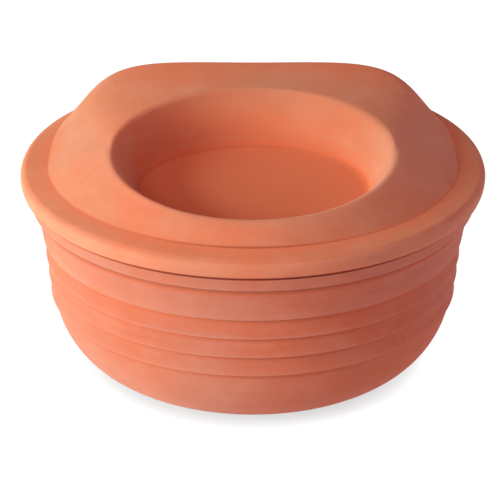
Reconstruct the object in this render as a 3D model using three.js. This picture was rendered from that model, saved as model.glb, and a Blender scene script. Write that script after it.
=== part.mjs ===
import * as THREE from 'three';
import { mergeVertices } from 'three/addons/utils/BufferGeometryUtils.js';

// Oval earthenware roaster: a ribbed pot and the loose lid that sits on its rim.
// Millimetres, +Z up, +X along the length, the lid's raised shoulder towards +Y,
// origin at the middle of the pot's foot.

// Overall oval, measured over the lid's lip, which is the widest level of the roaster.
const LENGTH = 340;
const WIDTH = 252;

// Pot, heights from the foot up.
const POT_HEIGHT = 157;
const POT_WALL = 9.5;
const POT_FLOOR = 10.5;
const RIM_THICKNESS = 10.4;
const RIM_EDGE = 1;
const COLLAR_INSET = 2.8;
const COLLAR_HEIGHT = 12.2;
const COLLAR_TAPER = 3.3;
const COLLAR_STEP = 2;
const COLLAR_STEP_DROP = 1.2;
const NECK_HEIGHT = 28.5;
const NECK_TAPER = 4.5;
const NECK_HOLLOW = 1.2;
const NECK_WAIST = 10;
const RIB_COUNT = 3;
const RIB_PITCH = 17.2;
const RIB_STEP = 2.8;
const RIB_STEP_DROP = 1.3;
const RIB_TAPER = 0.6;
const RIB_HOLLOW = 0.7;
const FOOT_HALF_LENGTH = 109.5;
const FOOT_EDGE = 1.6;
const BOWL_FULLNESS = 0.93;
const BOWL_STEPS = 9;

// Lid seat: the lip rests on the pot's rim and a spigot inside the mouth keeps it in place.
const SEAT_GAP = 0.3;
const SPIGOT_CLEARANCE = 1.8;
const SPIGOT_DEPTH = 7;
const SPIGOT_THICKNESS = 7;
const LIP_UNDERCUT = 1.4;
const LIP_WIDEST = 4.6;
const LIP_ROUND = 3.2;
const LIP_HEIGHT = 14.4;
const LIP_SQUARE = 2.14;
const LID_WALL = 9;
const THROAT_HEIGHT = 7;

// Lid levels: insets from the lip at the ends, the front and the back, heights above the seat
// at the front, the ends and the back.
const CREASE = { end: 20, front: 15, back: 17, square: 3, heights: [16.6, 15.6, 16.6] };
const SHOULDER = { end: 43.5, front: 20, back: 31.7, square: 5.6, heights: [24.5, 28.6, 46] };
const CREST = { end: 70, front: 28.4, back: 72.5, heights: [31.2, 39.2, 45] };
const CREST_ROUND = 3;
const WELL_WALL = { end: 83.6, front: 39.4, back: 86.3, heights: [13, 13, 13] };
const WELL_FLOOR = { end: 92, front: 49, back: 95, heights: [6, 6, 6] };

// Hollow under the lid: how many walls further in, and how many down, it lies under each level.
const UNDER_SHOULDER = { end: [0.44, 0.9], front: [0.48, 1.17], back: [0.58, 1] };
const UNDER_CREST = { end: [-0.4, 1.31], front: [-0.27, 1.47], back: [-0.58, 1] };
const UNDER_WALL = { end: [-0.77, 0.64], front: [-0.77, 0.64], back: [-0.77, 0.64] };
const UNDER_FLOOR = { end: [-0.34, 0.94], front: [-0.34, 0.94], back: [-0.34, 0.94] };

const SEGMENTS = 96;
const CLAY = { color: 0xcd7a58, roughness: 0.92, metalness: 0 };

// A level is a flat or gently tilted oval ring, round at the front and, where square is over 2,
// straighter along the back. Its heights are those at the front, the ends and the back.
function level({ halfLength, front, back, square = 2, heights }) {
  return { halfLength, front, back, square, heights };
}

function pointOn(ring, angle) {
  const middle = (ring.back + ring.front) / 2;
  const atBack = Math.sin(angle) > 0;
  const power = atBack ? 2 / ring.square : 1;
  const along = Math.sign(Math.cos(angle)) * Math.abs(Math.cos(angle)) ** power;
  const across = Math.abs(Math.sin(angle)) ** power;
  const [frontHeight, endHeight, backHeight] = ring.heights;
  const reach = atBack ? ring.back - middle : ring.front - middle;
  const target = atBack ? backHeight : frontHeight;
  return new THREE.Vector3(
    ring.halfLength * along,
    middle + reach * across,
    endHeight + (target - endHeight) * Math.abs(Math.sin(angle)),
  );
}

// Skins a closed stack of levels that starts and ends in a single point on the axis.
function skin(rings) {
  const profile = rings.map((ring) => new THREE.Vector2(ring.halfLength, ring.heights[1]));
  const geometry = new THREE.LatheGeometry(profile, SEGMENTS);
  const position = geometry.getAttribute('position');
  for (let turn = 0; turn <= SEGMENTS; turn += 1) {
    const angle = (1 - (turn % SEGMENTS) / SEGMENTS) * 2 * Math.PI;
    rings.forEach((ring, row) => {
      const point = pointOn(ring, angle);
      position.setXYZ(turn * rings.length + row, point.x, point.y, point.z);
    });
  }
  geometry.deleteAttribute('normal');
  geometry.deleteAttribute('uv');
  const merged = mergeVertices(geometry);
  merged.computeVertexNormals();
  return merged;
}

// Outer levels of the pot keep the proportions of the lip; inner ones are a wall's thickness inside them.
function potLevel(halfLength, height, wall = 0) {
  const halfWidth = (halfLength * WIDTH) / LENGTH;
  return level({
    halfLength: halfLength - wall,
    front: wall - halfWidth,
    back: halfWidth - wall,
    heights: [height, height, height],
  });
}

function axisPoint(height, offset = 0) {
  return level({ halfLength: 0, front: offset, back: offset, heights: [height, height, height] });
}

const collarHalfLength = LENGTH / 2 - COLLAR_INSET;
const collarFoot = POT_HEIGHT - COLLAR_HEIGHT;
const neckHalfLength = collarHalfLength - COLLAR_TAPER - COLLAR_STEP;
const neckTop = collarFoot - COLLAR_STEP_DROP;
const neckFoot = neckTop - NECK_HEIGHT;
const neckFootHalfLength = neckHalfLength - NECK_TAPER;
const waistHeight = neckTop - NECK_WAIST;
const waistHalfLength = neckHalfLength - (NECK_TAPER * NECK_WAIST) / NECK_HEIGHT - NECK_HOLLOW;
const bowlTop = neckFoot - RIB_COUNT * RIB_PITCH - RIB_STEP_DROP;
const bowlHalfLength = neckFootHalfLength - RIB_COUNT * RIB_TAPER - RIB_STEP;

// The bowl is a full quarter curve from the last rib down to the foot.
function bowlLevels(topHeight, footHeight, wall) {
  const levels = [];
  for (let step = 0; step <= BOWL_STEPS; step += 1) {
    const angle = (step / BOWL_STEPS) * (Math.PI / 2);
    const inward = (bowlHalfLength - FOOT_HALF_LENGTH) * (1 - Math.cos(angle) ** (1 / BOWL_FULLNESS));
    const down = (topHeight - footHeight) * Math.sin(angle) ** (1 / BOWL_FULLNESS);
    levels.push(potLevel(bowlHalfLength - inward, topHeight - down, wall));
  }
  return levels;
}

// Each rib is slightly hollow and flares to a lower edge that stands proud of the rib below it.
function ribLevels() {
  const levels = [];
  for (let rib = 0; rib <= RIB_COUNT; rib += 1) {
    const edgeHalfLength = neckFootHalfLength - rib * RIB_TAPER;
    const edgeHeight = neckFoot - rib * RIB_PITCH;
    levels.push(potLevel(edgeHalfLength, edgeHeight));
    if (rib < RIB_COUNT) {
      const hollowHalfLength = edgeHalfLength - (RIB_STEP + RIB_TAPER) / 2 - RIB_HOLLOW;
      levels.push(potLevel(edgeHalfLength - RIB_STEP, edgeHeight - RIB_STEP_DROP));
      levels.push(potLevel(hollowHalfLength, edgeHeight - RIB_PITCH / 2));
    }
  }
  return levels;
}

function potGeometry() {
  const mouthFloor = neckFoot - RIB_STEP_DROP;
  return skin([
    axisPoint(POT_FLOOR),
    ...bowlLevels(bowlTop, POT_FLOOR, POT_WALL).reverse(),
    potLevel(neckFootHalfLength - RIB_STEP, mouthFloor, POT_WALL),
    potLevel(waistHalfLength, waistHeight, POT_WALL),
    potLevel(collarHalfLength, POT_HEIGHT - SPIGOT_DEPTH - SPIGOT_CLEARANCE, RIM_THICKNESS),
    potLevel(collarHalfLength, POT_HEIGHT - RIM_EDGE, RIM_THICKNESS),
    potLevel(collarHalfLength - RIM_EDGE, POT_HEIGHT, RIM_THICKNESS - RIM_EDGE),
    potLevel(collarHalfLength - RIM_EDGE, POT_HEIGHT),
    potLevel(collarHalfLength, POT_HEIGHT - RIM_EDGE),
    potLevel(collarHalfLength - COLLAR_TAPER, collarFoot),
    potLevel(neckHalfLength, neckTop),
    potLevel(waistHalfLength, waistHeight),
    ...ribLevels(),
    ...bowlLevels(bowlTop, FOOT_EDGE, 0),
    potLevel(FOOT_HALF_LENGTH - FOOT_EDGE, 0),
    axisPoint(0),
  ]);
}

// Lid levels stand inside the lip by their insets; spread moves a level out and drop lowers it.
function lidLevel({ end, front, back, square, heights }, spread = 0, drop = 0) {
  return level({
    halfLength: LENGTH / 2 - end + spread,
    front: front - WIDTH / 2 - spread,
    back: WIDTH / 2 - back + spread,
    square,
    heights: heights.map((height) => height - drop),
  });
}

function underside(shape, walls) {
  const [frontHeight, endHeight, backHeight] = shape.heights;
  return lidLevel({
    end: shape.end + LID_WALL * walls.end[0],
    front: shape.front + LID_WALL * walls.front[0],
    back: shape.back + LID_WALL * walls.back[0],
    square: shape.square,
    heights: [
      frontHeight - LID_WALL * walls.front[1],
      endHeight - LID_WALL * walls.end[1],
      backHeight - LID_WALL * walls.back[1],
    ],
  });
}

function lipLevel(inset, height) {
  const heights = [height, height, height];
  return lidLevel({ end: inset, front: inset, back: inset, square: LIP_SQUARE, heights });
}

function spigotLevel(inset, height) {
  return potLevel(collarHalfLength, height, RIM_THICKNESS + SPIGOT_CLEARANCE + inset);
}

function lidGeometry() {
  const wellMiddle = (WELL_FLOOR.front - WELL_FLOOR.back) / 2;
  const floorHeight = WELL_FLOOR.heights[1];
  return skin([
    axisPoint(floorHeight, wellMiddle),
    lidLevel(WELL_FLOOR),
    lidLevel(WELL_WALL),
    lidLevel(CREST, -CREST_ROUND, CREST_ROUND),
    lidLevel(CREST),
    lidLevel(SHOULDER),
    lidLevel(CREASE),
    lipLevel(LIP_ROUND, LIP_HEIGHT),
    lipLevel(0, LIP_HEIGHT - LIP_ROUND),
    lipLevel(0, LIP_WIDEST),
    lipLevel(LIP_UNDERCUT, 0),
    spigotLevel(0, 0),
    spigotLevel(0, -SPIGOT_DEPTH),
    spigotLevel(SPIGOT_THICKNESS, -SPIGOT_DEPTH),
    spigotLevel(SPIGOT_THICKNESS, THROAT_HEIGHT),
    underside(SHOULDER, UNDER_SHOULDER),
    underside(CREST, UNDER_CREST),
    underside(WELL_WALL, UNDER_WALL),
    underside(WELL_FLOOR, UNDER_FLOOR),
    axisPoint(floorHeight - LID_WALL, wellMiddle),
  ]);
}

function piece(name, geometry) {
  const mesh = new THREE.Mesh(geometry, new THREE.MeshStandardMaterial(CLAY));
  mesh.name = name;
  return mesh;
}

const roaster = new THREE.Group();
const pot = piece('pot', potGeometry());
const lid = piece('lid', lidGeometry());
lid.position.z = POT_HEIGHT + SEAT_GAP;
roaster.add(pot, lid);

export default roaster;
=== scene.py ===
import math

import bmesh
import bpy
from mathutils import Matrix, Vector, noise


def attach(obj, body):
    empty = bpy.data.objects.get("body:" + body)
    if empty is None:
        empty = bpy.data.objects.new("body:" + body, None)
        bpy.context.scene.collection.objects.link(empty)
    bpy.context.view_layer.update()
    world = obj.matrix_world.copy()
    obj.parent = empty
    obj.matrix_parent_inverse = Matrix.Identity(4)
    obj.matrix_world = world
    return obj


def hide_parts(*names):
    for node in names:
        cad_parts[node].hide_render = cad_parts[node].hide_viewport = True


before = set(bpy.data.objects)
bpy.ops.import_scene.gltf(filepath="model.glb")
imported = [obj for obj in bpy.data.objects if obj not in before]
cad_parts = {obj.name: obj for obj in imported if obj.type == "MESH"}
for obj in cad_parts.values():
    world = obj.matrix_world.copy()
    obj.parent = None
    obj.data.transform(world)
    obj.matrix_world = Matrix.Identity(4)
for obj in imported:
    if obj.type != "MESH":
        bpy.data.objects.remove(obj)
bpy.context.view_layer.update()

# Pot: the lower half, an oval shell of unglazed red earthenware with walls about 9.5 mm thick.
# It is shaped in a plaster mould, which leaves a plain collar and neck band and three lapped ribs
# round the wall; the flat foot is wiped with a sponge, and the lid rests loose on the rim.
MM = 0.001
LIP_LENGTH = 340.0
LIP_WIDTH = 252.0
POT_HEIGHT = 157.0
POT_WALL = 9.5
POT_FLOOR = 10.5
RIM_THICKNESS = 10.4
RIM_EDGE = 1.0
COLLAR_INSET = 2.8
COLLAR_HEIGHT = 12.2
COLLAR_TAPER = 3.3
COLLAR_STEP = 2.0
COLLAR_STEP_DROP = 1.2
NECK_HEIGHT = 28.5
NECK_TAPER = 4.5
NECK_HOLLOW = 1.2
NECK_WAIST = 10.0
RIB_COUNT = 3
RIB_PITCH = 17.2
RIB_STEP = 2.8
RIB_STEP_DROP = 1.3
RIB_TAPER = 0.6
RIB_HOLLOW = 0.7
# Painted shade in the hollow of each rib, less on each rib further down.
RIB_SHADE_AND_WEAR = -0.5
RIB_SHADE_AND_WEAR_GAIN = 0.33
FOOT_HALF_LENGTH = 109.5
FOOT_EDGE = 1.6
BOWL_FULLNESS = 0.93
BOWL_STEPS = 20
SPIGOT_CLEARANCE = 1.8
SPIGOT_DEPTH = 7.0
# Painted shade along the joint: its reach down the collar, its depth at front, ends and back.
JOINT_SHADE = 1.9
JOINT_PAINTED_SHADE = (-2.0, 0.3, -2.0)  # at the front, the ends and the back

SPANS_ROUND_FRONT = 112
SPANS_ROUND_BACK = 144
CORNER_SPANS = 6
CORNER_SHARE = 0.46  # the most of a span that a rounded corner takes up
CRISP_EDGE = 1.0
LONG_RUN = (0.05, 0.2, 0.4, 0.6, 0.8, 0.95)
SHORT_RUN = (0.15, 0.5, 0.85)
WANDER_SIZES = ((14.0, 0.16), (55.0, 0.07), (160.0, 0.03))
WANDER_MIDDLE = 0.5
WANDER_DEPTH = 0.26
STILL_BAND = 0.01
TINY = 1e-6


def level(half_length, front, back, heights, square=2.0, ease=0.0, run=(), shade_and_wear=0.0, reached=None):
    """An oval ring of the clay skin: ease rounds its corner, run divides the clay after it.

    Shade and wear goes from dark (-2) through a deeper red (-1) and plain (0) to paler (1): below 0
    it is painted shade, above 0 rubbed edges and painted highlight. Reached is the shade and wear
    of the clay just before the ring, where that differs from its own.
    """
    return dict(half_length=half_length, front=front, back=back, heights=heights, square=square,
                ease=ease, run=run, shade_and_wear=shade_and_wear, reached=shade_and_wear if reached is None else reached)


def point_on(ring, angle):
    """The ring's point at an angle: round in front, straighter behind where square is over 2."""
    at_back = math.sin(angle) > 0
    middle = (ring["back"] + ring["front"]) / 2
    power = 2 / ring["square"] if at_back else 1.0
    along = math.copysign(abs(math.cos(angle)) ** power, math.cos(angle))
    across = abs(math.sin(angle)) ** power
    reach = (ring["back"] if at_back else ring["front"]) - middle
    front_height, end_height, back_height = ring["heights"]
    target = back_height if at_back else front_height
    return Vector((
        ring["half_length"] * along,
        middle + reach * across,
        end_height + (target - end_height) * abs(math.sin(angle)),
    ))


def around(value, angle):
    """A value at an angle of the oval: the same all round, or from its front, end and back."""
    if isinstance(value, float):
        return value
    front, end, back = value
    target = back if math.sin(angle) > 0 else front
    return end + (target - end) * abs(math.sin(angle))


def outline(rings, angle):
    """The skin's line from axis to axis at one angle: points, how proud each stands, its shade and
    wear.
    """
    keys = [point_on(ring, angle) for ring in rings]
    out = Vector((math.cos(angle), math.sin(angle), 0.0))
    line = []
    leave = keys[0]
    for before, key, after, ring, last in zip(keys, keys[1:], keys[2:], rings[1:], rings):
        inward, outward = before - key, after - key
        limit = CORNER_SHARE * min(inward.length, outward.length)
        ease = min(around(ring["ease"], angle), limit)
        first = key + inward.normalized() * ease
        final = key + outward.normalized() * ease
        turn = inward.dot(out) * outward.z - outward.dot(out) * inward.z
        crisp = min(1.0, CRISP_EDGE / max(ease, TINY))
        proud = turn / max(inward.length * outward.length, TINY) * crisp
        shade_and_wear, worn_and_shaded = around(ring["shade_and_wear"], angle), around(last["shade_and_wear"], angle)
        reached = around(ring["reached"], angle)
        for part in last["run"]:
            line.append((leave.lerp(first, part), 0.0, worn_and_shaded + (reached - worn_and_shaded) * part))
        if ring["ease"] == 0.0:
            line.append((key, proud, shade_and_wear))
        else:
            for step in range(CORNER_SPANS + 1):
                part = step / CORNER_SPANS
                bend = first.lerp(key, part).lerp(key.lerp(final, part), part)
                line.append((bend, proud * 4 * part * (1 - part), shade_and_wear))
        leave = final
    for part in rings[-2]["run"]:
        line.append((leave.lerp(keys[-1], part), 0.0, rings[-2]["shade_and_wear"]))
    return line


def turns():
    """Angles once round the oval, closer together at the back's middle and corners."""
    back = []
    for part in (step / SPANS_ROUND_BACK for step in range(SPANS_ROUND_BACK)):
        near = 2 * min(part, 1 - part)
        half = 0.5 * near * near * (3 - 2 * near)
        back.append(math.pi * (half if part < 0.5 else 1 - half))
    front = [math.pi * (1 + step / SPANS_ROUND_FRONT) for step in range(SPANS_ROUND_FRONT)]
    return back + front


def clay_shell(name, rings, still):
    """Skins the rings as one closed shell whose surface wanders a little, as wiped clay does."""
    shape = bmesh.new()
    proud_layer = shape.verts.layers.float.new("proud")
    shade_and_wear_layer = shape.verts.layers.float.new("shade_and_wear")
    columns = []
    for angle in turns():
        column = []
        for place, proud, shade_and_wear in outline(rings, angle):
            vert = shape.verts.new(place)
            vert[proud_layer] = proud
            vert[shade_and_wear_layer] = shade_and_wear
            column.append(vert)
        columns.append(column)
    start = shape.verts.new(point_on(rings[0], 0.0))
    end = shape.verts.new(point_on(rings[-1], 0.0))
    start[shade_and_wear_layer], end[shade_and_wear_layer] = rings[0]["shade_and_wear"], rings[-1]["shade_and_wear"]
    for here, there in zip(columns, columns[1:] + columns[:1]):
        shape.faces.new((start, here[0], there[0]))
        for corners in zip(here, here[1:], there[1:], there):
            shape.faces.new(corners)
        shape.faces.new((here[-1], end, there[-1]))
    bmesh.ops.recalc_face_normals(shape, faces=shape.faces)
    shape.normal_update()
    moves = []
    for vert in shape.verts:
        depth = WANDER_MIDDLE
        for size, share in WANDER_SIZES:
            depth += share * noise.noise(vert.co * size * MM)
        sunk = 0.0 if still(vert.co) else -WANDER_DEPTH * max(depth, 0.0)
        moves.append(vert.normal * sunk)
    for vert, move in zip(shape.verts, moves):
        vert.co = (vert.co + move) * MM
    mesh = bpy.data.meshes.new(name)
    shape.to_mesh(mesh)
    shape.free()
    mesh.shade_smooth()
    piece = bpy.data.objects.new(name, mesh)
    bpy.context.scene.collection.objects.link(piece)
    piece.modifiers.new("clean_shading", "WEIGHTED_NORMAL").keep_sharp = True
    return piece


def pot_level(half_length, height, wall=0.0, ease=0.0, run=(), shade_and_wear=0.0):
    """A level of the pot, in the lip's proportions, or a wall's thickness inside it."""
    half_width = half_length * LIP_WIDTH / LIP_LENGTH - wall
    return level(half_length - wall, -half_width, half_width, (height,) * 3,
                 ease=ease, run=run, shade_and_wear=shade_and_wear)


def axis_point(height, offset=0.0, run=(), shade_and_wear=0.0):
    """Where the skin closes on the middle of a floor."""
    return level(0.0, offset, offset, (height,) * 3, run=run, shade_and_wear=shade_and_wear)


collar_half = LIP_LENGTH / 2 - COLLAR_INSET
collar_foot = POT_HEIGHT - COLLAR_HEIGHT
neck_half = collar_half - COLLAR_TAPER - COLLAR_STEP
neck_top = collar_foot - COLLAR_STEP_DROP
neck_foot = neck_top - NECK_HEIGHT
neck_foot_half = neck_half - NECK_TAPER
waist_height = neck_top - NECK_WAIST
waist_half = neck_half - NECK_TAPER * NECK_WAIST / NECK_HEIGHT - NECK_HOLLOW
bowl_top = neck_foot - RIB_COUNT * RIB_PITCH - RIB_STEP_DROP
bowl_half = neck_foot_half - RIB_COUNT * RIB_TAPER - RIB_STEP


def bowl_levels(top, foot, wall, shade_and_wear=0.0):
    """The full quarter curve from the last rib down to the foot."""
    levels = []
    for step in range(BOWL_STEPS + 1):
        angle = step / BOWL_STEPS * math.pi / 2
        reach = max(math.cos(angle), 0.0) ** (1 / BOWL_FULLNESS)
        inward = (bowl_half - FOOT_HALF_LENGTH) * (1 - reach)
        down = (top - foot) * math.sin(angle) ** (1 / BOWL_FULLNESS)
        levels.append(pot_level(bowl_half - inward, top - down, wall, shade_and_wear=shade_and_wear))
    return levels


def rib_levels():
    """Each rib flares to a paler lower edge and laps the next one below it; painted shade lies
    under each lap.
    """
    levels = []
    for rib in range(RIB_COUNT + 1):
        half = neck_foot_half - rib * RIB_TAPER
        height = neck_foot - rib * RIB_PITCH
        levels.append(pot_level(half, height, ease=0.9, shade_and_wear=0.6))
        # The clay just under each lap is painted shade, dark at the step.
        levels.append(pot_level(half - RIB_STEP, height - RIB_STEP_DROP,
                                ease=0.6, run=SHORT_RUN, shade_and_wear=-1.1))
        if rib < RIB_COUNT:
            hollow = half - (RIB_STEP + RIB_TAPER) / 2 - RIB_HOLLOW
            levels.append(pot_level(hollow, height - RIB_PITCH / 2,
                                    ease=4.0, run=SHORT_RUN, shade_and_wear=RIB_SHADE_AND_WEAR_GAIN * rib + RIB_SHADE_AND_WEAR))
    return levels


def neck_level(share, shade_and_wear):
    """A level of the hollowed neck, some share of the way from its top to its waist."""
    half = neck_half + (waist_half - neck_half) * share
    return pot_level(half, neck_top - NECK_WAIST * share, ease=0.5, shade_and_wear=shade_and_wear)


mouth_foot = POT_HEIGHT - SPIGOT_DEPTH - SPIGOT_CLEARANCE
pot = clay_shell("pot_shell", [
    axis_point(POT_FLOOR, run=LONG_RUN),
    *reversed(bowl_levels(bowl_top, POT_FLOOR, POT_WALL)),
    pot_level(neck_foot_half - RIB_STEP, neck_foot - RIB_STEP_DROP, POT_WALL,
              ease=4.0, run=SHORT_RUN),
    pot_level(waist_half, waist_height, POT_WALL, ease=4.0, run=SHORT_RUN),
    pot_level(collar_half, mouth_foot, RIM_THICKNESS, ease=1.5, run=SHORT_RUN),
    pot_level(collar_half, POT_HEIGHT - RIM_EDGE, RIM_THICKNESS, ease=0.5),
    pot_level(collar_half - RIM_EDGE, POT_HEIGHT, RIM_THICKNESS - RIM_EDGE,
              ease=0.5, run=SHORT_RUN),
    # Painted shade along the joint on the rim's outer edge, deepest at the front and back.
    pot_level(collar_half - RIM_EDGE, POT_HEIGHT, JOINT_SHADE, run=SHORT_RUN, shade_and_wear=-0.3),
    pot_level(collar_half - RIM_EDGE, POT_HEIGHT, ease=0.5, run=SHORT_RUN, shade_and_wear=JOINT_PAINTED_SHADE),
    pot_level(collar_half, POT_HEIGHT - RIM_EDGE, ease=0.7, run=SHORT_RUN, shade_and_wear=JOINT_PAINTED_SHADE),
    pot_level(collar_half - COLLAR_TAPER * JOINT_SHADE / COLLAR_HEIGHT, POT_HEIGHT - JOINT_SHADE,
              ease=0.5, run=SHORT_RUN, shade_and_wear=-0.1),
    # The collar's foot is paler: partly a rubbed edge, partly painted light.
    pot_level(collar_half - COLLAR_TAPER, collar_foot, ease=1.0, shade_and_wear=0.4),
    # Painted shade on the neck under the collar's overhang, fading towards the waist.
    pot_level(neck_half, neck_top, ease=0.8, run=SHORT_RUN, shade_and_wear=-1.5),
    neck_level(0.3, shade_and_wear=-1.3),
    neck_level(0.6, shade_and_wear=-0.4),
    pot_level(waist_half, waist_height, ease=3.5, run=SHORT_RUN, shade_and_wear=0.05),
    *rib_levels(),
    *bowl_levels(bowl_top, FOOT_EDGE, 0.0, shade_and_wear=0.25)[1:],
    pot_level(FOOT_HALF_LENGTH - FOOT_EDGE, 0.0, ease=0.6, run=LONG_RUN),
    axis_point(0.0),
], still=lambda place: place.z < STILL_BAND or place.z > POT_HEIGHT - STILL_BAND)
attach(pot, "pot")
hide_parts("pot")


PATCH_SHARE = 0.35
SPECKLE_PALE = 0.14
SPECKLE_DARK = 0.12
CREASE_SHADE_SHARE = 0.75
PORE_SHARE = 0.28
GRAIN_HEIGHT = 0.35
STREAK_HEIGHT = 0.5
SPECKLE_HEIGHT = 0.3
CLAY_ROUGHNESS = 0.85
GRAIN_ROUGHNESS = 0.12
PATCH_ROUGHNESS = -0.06
RELIEF_DEPTH = 0.0004


def add_sockets(tree, way, kind, *names):
    """Adds named sockets to a shared effect."""
    for name in names:
        tree.interface.new_socket(name=name, in_out=way, socket_type=kind)


def fired_clay_effect():
    """Colour, roughness and height of fired clay: mottling, wiping streaks, pores, rubbed edges,
    painted shade and highlight.
    """
    tree = bpy.data.node_groups.new("fired_clay", "ShaderNodeTree")
    add_sockets(tree, "INPUT", "NodeSocketColor", "Body", "Flash And Shade", "Bloom And Highlight", "Pore And Shade")
    add_sockets(tree, "INPUT", "NodeSocketVector", "Streak Stretch")
    add_sockets(tree, "INPUT", "NodeSocketFloat", "Streak", "Rub And Highlight")
    add_sockets(tree, "OUTPUT", "NodeSocketColor", "Color")
    add_sockets(tree, "OUTPUT", "NodeSocketFloat", "Roughness", "Height")
    nodes, links = tree.nodes, tree.links
    given = nodes.new("NodeGroupInput")
    result = nodes.new("NodeGroupOutput")
    place = nodes.new("ShaderNodeTexCoord").outputs["Object"]

    def noise_at(size, detail, rough, vector=place):
        node = nodes.new("ShaderNodeTexNoise")
        node.inputs["Scale"].default_value = size
        node.inputs["Detail"].default_value = detail
        node.inputs["Roughness"].default_value = rough
        links.new(vector, node.inputs["Vector"])
        return node.outputs["Fac"]

    def spread(value, low, high):
        node = nodes.new("ShaderNodeMapRange")
        node.interpolation_type = "SMOOTHSTEP"
        node.inputs["From Min"].default_value = low
        node.inputs["From Max"].default_value = high
        links.new(value, node.inputs["Value"])
        return node.outputs["Result"]

    def maths(operation, first, second):
        node = nodes.new("ShaderNodeMath")
        node.operation = operation
        for index, value in enumerate((first, second)):
            if isinstance(value, float):
                node.inputs[index].default_value = value
            else:
                links.new(value, node.inputs[index])
        return node.outputs[0]

    def blend(share, first, second):
        node = nodes.new("ShaderNodeMix")
        node.data_type = "RGBA"
        for name, value in (("Factor_Float", share), ("A_Color", first), ("B_Color", second)):
            links.new(value, next(entry for entry in node.inputs if entry.identifier == name))
        return next(entry for entry in node.outputs if entry.identifier == "Result_Color")

    stretch = nodes.new("ShaderNodeVectorMath")
    stretch.operation = "MULTIPLY"
    links.new(place, stretch.inputs[0])
    links.new(given.outputs["Streak Stretch"], stretch.inputs[1])
    flash = spread(noise_at(size=9.0, detail=3.0, rough=0.5), 0.35, 0.68)
    patches = spread(noise_at(size=38.0, detail=4.0, rough=0.6), 0.38, 0.7)
    streaks = noise_at(size=1.0, detail=4.0, rough=0.6, vector=stretch.outputs["Vector"])
    grain = noise_at(size=1500.0, detail=3.0, rough=0.7)
    speckle = noise_at(size=620.0, detail=2.0, rough=0.6)
    proud = nodes.new("ShaderNodeAttribute")
    proud.attribute_name = "proud"
    worn_and_shaded = nodes.new("ShaderNodeAttribute")
    worn_and_shaded.attribute_name = "shade_and_wear"
    edges = spread(proud.outputs["Fac"], 0.05, 0.8)
    # This mask pales rubbed edges and the painted highlight that the mesh's marks call for.
    rubbed_and_highlight = maths("MAXIMUM", edges, spread(worn_and_shaded.outputs["Fac"], 0.0, 1.0))
    # This mask paints shade as a deeper red where the mesh's marks call for it.
    painted_shade = spread(worn_and_shaded.outputs["Fac"], 0.0, -1.0)
    # This mask paints the deepest shade dark, as along the joint and under the collar.
    painted_deep_shade = spread(worn_and_shaded.outputs["Fac"], -1.0, -2.0)
    # This mask paints shade into every hollow corner of the mesh.
    painted_crease_shade = spread(proud.outputs["Fac"], -0.1, -0.7)
    holes = nodes.new("ShaderNodeTexVoronoi")
    holes.inputs["Scale"].default_value = 210.0
    holes.inputs["Randomness"].default_value = 1.0
    links.new(place, holes.inputs["Vector"])
    near = spread(holes.outputs["Distance"], 0.16, 0.06)
    thin = spread(noise_at(size=70.0, detail=2.0, rough=0.5), 0.56, 0.66)
    pores = maths("MULTIPLY", near, thin)

    bloom_and_highlight, pore_and_shade = given.outputs["Bloom And Highlight"], given.outputs["Pore And Shade"]
    color = blend(flash, given.outputs["Body"], given.outputs["Flash And Shade"])
    color = blend(maths("MULTIPLY", patches, PATCH_SHARE), color, bloom_and_highlight)
    pale_streaks = maths("MULTIPLY", spread(streaks, 0.35, 0.75), given.outputs["Streak"])
    color = blend(pale_streaks, color, bloom_and_highlight)
    dark_streaks = maths("MULTIPLY", spread(streaks, 0.5, 0.25), given.outputs["Streak"])
    color = blend(dark_streaks, color, pore_and_shade)
    color = blend(maths("MULTIPLY", spread(speckle, 0.58, 0.75), SPECKLE_PALE), color, bloom_and_highlight)
    color = blend(maths("MULTIPLY", spread(speckle, 0.42, 0.25), SPECKLE_DARK), color, pore_and_shade)
    # Paler for rubbed edges and painted highlight.
    color = blend(maths("MULTIPLY", rubbed_and_highlight, given.outputs["Rub And Highlight"]), color, bloom_and_highlight)
    # Painted shade, as a deeper red.
    color = blend(painted_shade, color, given.outputs["Flash And Shade"])
    # Painted shade, dark, in the deepest places and in every hollow corner.
    color = blend(maths("MAXIMUM", maths("MULTIPLY", painted_crease_shade, CREASE_SHADE_SHARE), painted_deep_shade), color, pore_and_shade)
    color = blend(maths("MULTIPLY", pores, PORE_SHARE), color, pore_and_shade)
    links.new(color, result.inputs["Color"])

    grain_relief = maths("MULTIPLY", grain, GRAIN_HEIGHT)
    height = maths("ADD", grain_relief, maths("MULTIPLY", streaks, STREAK_HEIGHT))
    height = maths("ADD", height, maths("MULTIPLY", speckle, SPECKLE_HEIGHT))
    links.new(maths("SUBTRACT", height, pores), result.inputs["Height"])
    grain_rough = maths("MULTIPLY", grain, GRAIN_ROUGHNESS)
    rough = maths("ADD", grain_rough, maths("MULTIPLY", patches, PATCH_ROUGHNESS))
    links.new(maths("ADD", rough, CLAY_ROUGHNESS), result.inputs["Roughness"])
    return tree


fired_clay = fired_clay_effect()


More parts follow.
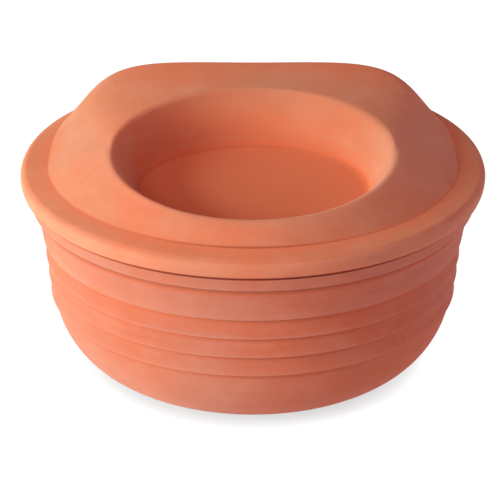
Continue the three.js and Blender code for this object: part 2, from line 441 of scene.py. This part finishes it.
def clay_finish(name, values, bump):
    """A clay material with its own values of the shared effect."""
    finish = bpy.data.materials.new(name)
    finish.use_nodes = True
    nodes, links = finish.node_tree.nodes, finish.node_tree.links
    surface = nodes["Principled BSDF"]
    effect = nodes.new("ShaderNodeGroup")
    effect.node_tree = fired_clay
    for key, value in values.items():
        effect.inputs[key].default_value = value
    relief = nodes.new("ShaderNodeBump")
    relief.inputs["Strength"].default_value = bump
    relief.inputs["Distance"].default_value = RELIEF_DEPTH
    links.new(effect.outputs["Color"], surface.inputs["Base Color"])
    links.new(effect.outputs["Roughness"], surface.inputs["Roughness"])
    links.new(effect.outputs["Height"], relief.inputs["Height"])
    links.new(relief.outputs["Normal"], surface.inputs["Normal"])
    surface.inputs["Specular IOR Level"].default_value = 0.18
    surface.inputs["Diffuse Roughness"].default_value = 0.5
    surface.inputs["Sheen Weight"].default_value = 0.1
    surface.inputs["Sheen Roughness"].default_value = 0.5
    surface.inputs["Sheen Tint"].default_value = (1.0, 0.8, 0.7, 1)
    return finish


# The flash, bloom and pore colours also serve as painted shade, highlight and darkest shade.
pot.data.materials.append(clay_finish("pot_clay", {
    "Body": (0.59, 0.172, 0.099, 1),
    "Flash And Shade": (0.64, 0.142, 0.062, 1),
    "Bloom And Highlight": (0.66, 0.246, 0.155, 1),
    "Pore And Shade": (0.27, 0.042, 0.020, 1),
    "Streak Stretch": (7.0, 7.0, 300.0),
    "Streak": 0.07,
    "Rub And Highlight": 0.5,
}, bump=0.5))

# Lid: the upper half, pressed from the same clay, with a rounded lip that rests on the pot's rim
# and a spigot below it that stands inside the mouth. Its dome has a dished well in the top, whose
# edge is the grip, and a raised shoulder with a straight edge along one long side.
SEAT_GAP = 0.3
SPIGOT_THICKNESS = 7.0
LIP_UNDERCUT = 1.4
LIP_WIDEST = 4.6
LIP_ROUND = 3.2
LIP_HEIGHT = 14.4
LIP_SQUARE = 2.14
LID_WALL = 9.0
THROAT_HEIGHT = 7.0
CREASE = dict(end=20.0, front=15.0, back=17.0, square=3.0, heights=(16.6, 15.6, 16.6))
SHOULDER = dict(end=43.5, front=20.0, back=31.7, square=5.6, heights=(24.5, 28.6, 46.0))
CREST = dict(end=70.0, front=28.4, back=72.5, heights=(31.2, 39.2, 45.0))
WELL_WALL = dict(end=83.6, front=39.4, back=86.3, heights=(13.0, 13.0, 13.0))
WELL_FLOOR = dict(end=92.0, front=49.0, back=95.0, heights=(6.0, 6.0, 6.0))
WELL_CORNER = dict(end=87.0, front=45.5, back=92.5, heights=(6.0, 6.0, 6.0))
RIM_INSIDE = dict(end=79.4, front=34.5, back=82.9, heights=(24.5, 21.0, 21.0))
UNDER_SHOULDER = dict(front=(0.48, 1.17), end=(0.44, 0.90), back=(0.58, 1.00))
UNDER_CREST = dict(front=(-0.27, 1.47), end=(-0.40, 1.31), back=(-0.58, 1.00))
UNDER_WALL = dict(front=(-0.77, 0.64), end=(-0.77, 0.64), back=(-0.77, 0.64))
UNDER_FLOOR = dict(front=(-0.34, 0.94), end=(-0.34, 0.94), back=(-0.34, 0.94))
seat = POT_HEIGHT + SEAT_GAP


def lid_level(shape, ease=0.0, run=(), shade_and_wear=0.0, reached=None):
    """A level of the lid, set in from the lip."""
    return level(
        LIP_LENGTH / 2 - shape["end"],
        shape["front"] - LIP_WIDTH / 2,
        LIP_WIDTH / 2 - shape["back"],
        tuple(seat + height for height in shape["heights"]), shape.get("square", 2.0),
        ease=ease, run=run, shade_and_wear=shade_and_wear, reached=reached)


def underside(shape, walls, ease, run=()):
    """The lid's inner face under one of its levels, so many walls further in and down."""
    sides = ("front", "end", "back")
    inner = {side: shape[side] + LID_WALL * walls[side][0] for side in sides}
    heights = tuple(top - LID_WALL * walls[side][1] for side, top in zip(sides, shape["heights"]))
    inner.update(heights=heights, square=shape.get("square", 2.0))
    return lid_level(inner, ease=ease, run=run)


def lip_level(inset, height, ease=0.0, run=(), shade_and_wear=0.0):
    """A level of the lip, set in evenly all round."""
    shape = dict(end=inset, front=inset, back=inset, square=LIP_SQUARE, heights=(height,) * 3)
    return lid_level(shape, ease=ease, run=run, shade_and_wear=shade_and_wear)


def spigot_level(inset, height, ease=0.0, run=()):
    """A level of the spigot, clear of the pot's mouth."""
    wall = RIM_THICKNESS + SPIGOT_CLEARANCE + inset
    return pot_level(collar_half, seat + height, wall, ease=ease, run=run)


well_middle = (WELL_FLOOR["front"] - WELL_FLOOR["back"]) / 2
well_height = WELL_FLOOR["heights"][1]
lid = clay_shell("lid_shell", [
    # Painted shade deepens the red of the well, of the shoulder's front and back, and of the
    # flange.
    axis_point(seat + well_height, well_middle, run=LONG_RUN, shade_and_wear=-0.9),
    lid_level(WELL_CORNER, ease=(4.5, 3.4, 3.0), run=SHORT_RUN, shade_and_wear=-0.9),
    lid_level(WELL_WALL, ease=3.0, run=LONG_RUN, shade_and_wear=(-0.3, -0.1, -0.65)),
    # Painted highlight pales the well's end walls and the crest and shoulder at the dome's ends.
    lid_level(RIM_INSIDE, ease=(4.4, 4.0, 4.0), shade_and_wear=(-0.2, 0.6, -0.6)),
    lid_level(CREST, ease=(4.6, 6.5, 2.8), run=LONG_RUN, shade_and_wear=(0.3, 0.8, -0.1)),
    lid_level(SHOULDER, ease=(4.4, 14.0, 5.0), run=LONG_RUN, shade_and_wear=(-0.3, 0.8, -0.6)),
    lid_level(CREASE, ease=(1.4, 1.2, 1.2), run=SHORT_RUN, shade_and_wear=-0.6, reached=0.0),
    lip_level(LIP_ROUND, LIP_HEIGHT, ease=2.0, shade_and_wear=-0.25),
    lip_level(0.0, LIP_HEIGHT - LIP_ROUND, ease=2.0, run=SHORT_RUN, shade_and_wear=0.7),
    lip_level(0.0, LIP_WIDEST, ease=2.4, run=SHORT_RUN, shade_and_wear=0.4),
    # Painted shade darkens the lip's underside along the joint, most at the front and back.
    lip_level(LIP_UNDERCUT, 0.0, ease=0.6, run=SHORT_RUN, shade_and_wear=JOINT_PAINTED_SHADE),
    spigot_level(0.0, 0.0, ease=0.6, run=SHORT_RUN),
    spigot_level(0.0, -SPIGOT_DEPTH, ease=1.5, run=SHORT_RUN),
    spigot_level(SPIGOT_THICKNESS, -SPIGOT_DEPTH, ease=1.5, run=SHORT_RUN),
    spigot_level(SPIGOT_THICKNESS, THROAT_HEIGHT, ease=4.0, run=SHORT_RUN),
    underside(SHOULDER, UNDER_SHOULDER, ease=6.0, run=SHORT_RUN),
    underside(CREST, UNDER_CREST, ease=3.0, run=SHORT_RUN),
    underside(WELL_WALL, UNDER_WALL, ease=5.0, run=SHORT_RUN),
    underside(WELL_FLOOR, UNDER_FLOOR, ease=5.0, run=LONG_RUN),
    axis_point(seat + well_height - LID_WALL, well_middle),
], still=lambda place: abs(place.z - seat) < STILL_BAND)
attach(lid, "lid")
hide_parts("lid")
# Here too the flash, bloom and pore colours also paint shade, highlight and darkest shade.
lid.data.materials.append(clay_finish("lid_clay", {
    "Body": (0.66, 0.220, 0.108, 1),
    "Flash And Shade": (0.77, 0.178, 0.072, 1),
    "Bloom And Highlight": (0.73, 0.303, 0.184, 1),
    "Pore And Shade": (0.27, 0.042, 0.020, 1),
    "Streak Stretch": (7.0, 60.0, 160.0),
    "Streak": 0.05,
    "Rub And Highlight": 0.35,
}, bump=0.45))

# Floor: a wide sheet of white paper that the roaster stands on. It shows as plain white to the
# camera and lights the clay from below as real paper does; round the foot its glow dims near the
# clay, a painted soft shadow that deepens the faint real one.
FLOOR_HALF = 6.0
FLOOR_WHITE = 0.8
FLOOR_SEEN = 0.12
FLOOR_LIFT = 1.0
CONTACT_REACH = 0.014
CONTACT_LIFT = 0.66
CONTACT_FROM = 0.2
CONTACT_TO = 0.97


def shown_rays(nodes, links):
    """A mask of the rays that show the background: straight, through glass or by reflection."""
    path = nodes.new("ShaderNodeLightPath")
    shown = path.outputs["Is Camera Ray"]
    for kind in ("Is Transmission Ray", "Is Glossy Ray"):
        either = nodes.new("ShaderNodeMath")
        either.operation = "MAXIMUM"
        links.new(shown, either.inputs[0])
        links.new(path.outputs[kind], either.inputs[1])
        shown = either.outputs[0]
    return shown


paper = bpy.data.meshes.new("paper_floor")
sheet = bmesh.new()
bmesh.ops.create_grid(sheet, x_segments=1, y_segments=1, size=FLOOR_HALF)
sheet.to_mesh(paper)
sheet.free()
floor = bpy.data.objects.new("paper_floor", paper)
bpy.context.scene.collection.objects.link(floor)
white = bpy.data.materials.new("white_paper")
white.use_nodes = True
nodes, links = white.node_tree.nodes, white.node_tree.links
surface = nodes["Principled BSDF"]
surface.inputs["Roughness"].default_value = 0.9
surface.inputs["Emission Color"].default_value = (1, 1, 1, 1)
shown = shown_rays(nodes, links)
paper_white = nodes.new("ShaderNodeMapRange")
paper_white.inputs["To Min"].default_value = FLOOR_WHITE
paper_white.inputs["To Max"].default_value = FLOOR_SEEN
links.new(shown, paper_white.inputs["Value"])
links.new(paper_white.outputs["Result"], surface.inputs["Base Color"])
# The glow dims near the clay, which paints the soft shadow round the foot.
contact = nodes.new("ShaderNodeAmbientOcclusion")
contact.inputs["Distance"].default_value = CONTACT_REACH
glow_with_painted_shadow = nodes.new("ShaderNodeMapRange")
glow_with_painted_shadow.inputs["From Min"].default_value = CONTACT_FROM
glow_with_painted_shadow.inputs["From Max"].default_value = CONTACT_TO
glow_with_painted_shadow.inputs["To Min"].default_value = CONTACT_LIFT
glow_with_painted_shadow.inputs["To Max"].default_value = FLOOR_LIFT
links.new(contact.outputs["AO"], glow_with_painted_shadow.inputs["Value"])
lift = nodes.new("ShaderNodeMath")
lift.operation = "MULTIPLY"
links.new(shown, lift.inputs[0])
links.new(glow_with_painted_shadow.outputs["Result"], lift.inputs[1])
links.new(lift.outputs[0], surface.inputs["Emission Strength"])
paper.materials.append(white)

# Studio light: a soft panel low on the left, a broader and weaker one above it, two weak ones low
# at the front and on the right, and a little even light all round from the white room.
LIGHT_AIM = Vector((0.0, 0.0, 0.12))
ROOM_LIGHT = 0.10


def soft_panel(name, place, size, power, colour):
    """A square light panel turned towards the roaster."""
    data = bpy.data.lights.new(name, "AREA")
    data.shape = "SQUARE"
    data.size = size
    data.energy = power
    data.color = colour
    lamp = bpy.data.objects.new(name, data)
    lamp.location = place
    lamp.rotation_euler = (LIGHT_AIM - lamp.location).to_track_quat("-Z", "Y").to_euler()
    lamp.visible_camera = False
    bpy.context.scene.collection.objects.link(lamp)


soft_panel("key_panel", (-1.03, -0.46, 0.53), size=0.45, power=19.0, colour=(0.75, 1.0, 0.96))
soft_panel("top_panel", (-0.55, -0.55, 1.04), size=0.7, power=4.7, colour=(1.0, 0.66, 0.77))
soft_panel("front_panel", (0.50, -1.08, 0.29), size=0.8, power=3.2, colour=(1.0, 0.69, 0.93))
soft_panel("side_panel", (1.12, 0.40, 0.29), size=0.7, power=4.5, colour=(0.97, 0.77, 1.0))
world = bpy.data.worlds.new("white_room")
world.use_nodes = True
nodes, links = world.node_tree.nodes, world.node_tree.links
room = nodes["Background"]
room.inputs["Color"].default_value = (1, 1, 1, 1)
strength = nodes.new("ShaderNodeMapRange")
strength.inputs["To Min"].default_value = ROOM_LIGHT
strength.inputs["To Max"].default_value = 1.0
links.new(shown_rays(nodes, links), strength.inputs["Value"])
links.new(strength.outputs["Result"], room.inputs["Strength"])
bpy.context.scene.world = world

# Camera: a long lens a little over a metre away, on a stand in front of the roaster. It looks down
# at the lid, so that the well and the ribbed front both show.
CAMERA_AIM = Vector((-0.0021, 0.0, 0.0914))
CAMERA_DISTANCE = 1.145
CAMERA_ELEVATION = math.radians(36)
SENSOR_WIDTH = 36.0
LENS = 108.0
camera = bpy.data.objects.new("camera", bpy.data.cameras.new("camera"))
camera.data.sensor_width = SENSOR_WIDTH
camera.data.lens = LENS
back_off = Vector((0.0, -math.cos(CAMERA_ELEVATION), math.sin(CAMERA_ELEVATION)))
camera.location = CAMERA_AIM + CAMERA_DISTANCE * back_off
camera.rotation_euler = (math.pi / 2 - CAMERA_ELEVATION, 0.0, 0.0)
bpy.context.scene.collection.objects.link(camera)
bpy.context.scene.camera = camera
bpy.context.scene.view_settings.view_transform = "Standard"
